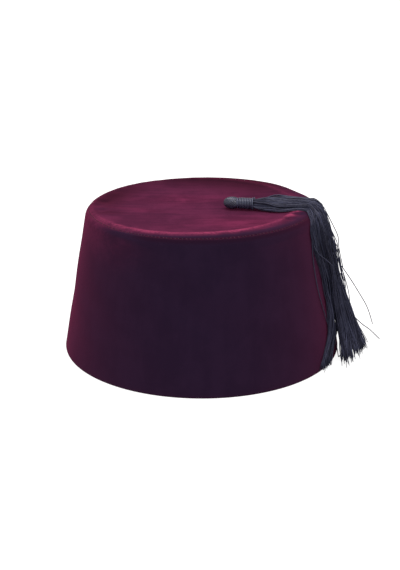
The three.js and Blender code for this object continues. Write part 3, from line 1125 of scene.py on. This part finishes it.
# loose threads: direction round the hat in degrees, then millimetres out from the side and up
strays = {
    "radius": 0.00034,
    "tone": 0.4,
    "spanSteps": 10,
    "tracks": (
        ((-9.5, 5.5, 108), (-9.1, 8.2, 98), (-8.7, 11, 88), (-8.4, 10.6, 80), (-8.6, 11.8, 66)),
        ((-10, 6.2, 102), (-9.6, 9.2, 93), (-9.2, 10, 84), (-9, 11.6, 75), (-8.8, 11.2, 62)),
        ((-10.5, 6.8, 96), (-10.2, 9.4, 88), (-10, 9.2, 79), (-9.8, 11, 71), (-9.5, 12.4, 58)),
        ((-9.8, 8.4, 92), (-9.3, 11.4, 83), (-9, 10.6, 74), (-8.8, 12.4, 65), (-8.6, 13, 52)),
        ((-9.3, 6, 113), (-8.7, 9.4, 103), (-8.2, 12.2, 93), (-8.1, 11.8, 84), (-8.3, 12.8, 68)),
        ((-9, 12, 70), (-8.4, 17, 60), (-7.9, 21.7, 49.5), (-7.3, 27, 36), (-7, 29.6, 21.5)),
        ((-9.5, 13, 35), (-9, 17.6, 27.5), (-8.5, 22.3, 22), (-8.2, 26.4, 18.5), (-7.6, 33.6, 9.7)),
        ((-8.9, 12, 68), (-8.7, 13.9, 56), (-8.5, 14.6, 48), (-8.4, 14.5, 43), (-8.3, 14, 34)),
        ((-9, 10.5, 64), (-8.8, 11.9, 56), (-8.6, 12.6, 49), (-8.5, 13, 42), (-8.3, 13.8, 33)),
        ((-9, 6.5, 100), (-8.4, 9.2, 86), (-8.1, 10, 76), (-7.9, 11, 70), (-7.7, 12.5, 63)),
        ((-11.5, 8, 94), (-11, 10, 83), (-10.7, 10.6, 76), (-10.5, 11, 69), (-10.2, 12, 60)),
        ((-12.5, 8, 82), (-12.2, 9.5, 74), (-11.9, 9.8, 65), (-11.5, 10.7, 54.5), (-11.1, 12.3, 44)),
        ((-28.9, 2.7, 95), (-28.5, 3.8, 92), (-27.9, 5.1, 89), (-25.3, 8, 84), (-22.3, 10.8, 78)),
        ((-22, 3.2, 24), (-21.6, 3.8, 19), (-21, 4.6, 11), (-20.6, 4.9, 3.5), (-20.2, 6.5, 6)),
        ((-27, 1, 108), (-28.5, 1, 95), (-29.5, 1, 82), (-28.2, 1, 60), (-23, 1.2, 30)),
    ),
}


def buildStrays():
    angle, stand, height = np.moveaxis(np.array(strays["tracks"], float), 2, 0)
    points = onSide(np.radians(angle), height * millimetre, stand * millimetre)
    lines = smoothLine(points, [strays["spanSteps"]] * (points.shape[1] - 1))
    sizes = np.full(len(lines), strays["radius"])
    tones = np.full(len(lines), strays["tone"])
    addStrands(lines, sizes, tones, "stray_threads")


buildStrays()
print("stray threads made")


studio = {
    "floorSize": 3,
    "paperPale": (0.42, 0.42, 0.42, 1),
    "paperDim": (0.40, 0.40, 0.40, 1),
    "paperScale": 3.0,
    "paperGlow": 0.9,
    "paperGloss": 0.1,
    "roughness": 0.9,  # of the paper and the table
    "tableColour": (0.30, 0.30, 0.30, 1),
    "tableHeight": -0.0005,
    "skyColour": (1, 1, 1, 1),
    "skyStrength": 0.6,
    "sunStrength": 1.7,
    "sunColour": (1, 0.91, 0.89),
    "sunTilt": 6,  # degrees from overhead towards the viewer, and round to the left
    "sunTurn": -12,
    "sunSoftness": 50,
}


def addFloor(name, finish, height):
    shape = bmesh.new()
    bmesh.ops.create_grid(shape, x_segments=1, y_segments=1, size=studio["floorSize"])
    bmesh.ops.translate(shape, verts=shape.verts, vec=(0, 0, height))
    mesh = bpy.data.meshes.new(name)
    shape.to_mesh(mesh)
    shape.free()
    mesh.materials.append(finish)
    floor = bpy.data.objects.new(name, mesh)
    bpy.context.scene.collection.objects.link(floor)
    return floor


def buildStudio():
    finish, desk = startFinish("white_paper")
    clouds = noise(desk, objectPlace(desk), studio["paperScale"])
    endFinish(desk, {
        "Base Color": clouds.mixColour(studio["paperDim"], studio["paperPale"]),
        "Roughness": studio["roughness"],
        "Specular IOR Level": studio["paperGloss"],
        "Emission Color": (1, 1, 1, 1),
        "Emission Strength": studio["paperGlow"],
    })
    paper = addFloor("paper", finish, 0)
    paper.visible_diffuse = False  # the glowing paper lights neither the velvet nor the threads
    paper.visible_glossy = False
    paper.visible_shadow = False
    finish, desk = startFinish("grey_table")
    endFinish(desk, {"Base Color": studio["tableColour"], "Roughness": studio["roughness"]})
    table = addFloor("table", finish, studio["tableHeight"])  # lights the hat from below, unseen
    table.visible_camera = False

    world = bpy.data.worlds.new("studio")
    world.use_nodes = True
    sky = world.node_tree.nodes["Background"]
    sky.inputs["Color"].default_value = studio["skyColour"]
    sky.inputs["Strength"].default_value = studio["skyStrength"]
    bpy.context.scene.world = world

    light = bpy.data.lights.new("overhead", "SUN")
    light.energy = studio["sunStrength"]
    light.color = studio["sunColour"]
    light.angle = math.radians(studio["sunSoftness"])
    lamp = bpy.data.objects.new("overhead", light)
    lamp.rotation_euler = (math.radians(studio["sunTilt"]), 0, math.radians(studio["sunTurn"]))
    bpy.context.scene.collection.objects.link(lamp)
    bpy.context.scene.view_settings.view_transform = "Standard"


viewer = {
    "aim": (-0.00136, 0, 0.04862),
    "distance": 0.7643,
    "elevation": 24.692,
    "lens": 62.34,
    "sensorHeight": 36,
}


def buildCamera():
    data = bpy.data.cameras.new("camera")
    data.sensor_fit = "VERTICAL"
    data.sensor_height = viewer["sensorHeight"]
    data.lens = viewer["lens"]
    camera = bpy.data.objects.new("camera", data)
    elevation = math.radians(viewer["elevation"])
    x, y, z = viewer["aim"]
    back, up = math.cos(elevation), math.sin(elevation)
    camera.location = (x, y - viewer["distance"] * back, z + viewer["distance"] * up)
    camera.rotation_euler = (math.pi / 2 - elevation, 0, 0)
    bpy.context.scene.collection.objects.link(camera)
    bpy.context.scene.camera = camera


buildStudio()
buildCamera()
print("floor, light and camera made")
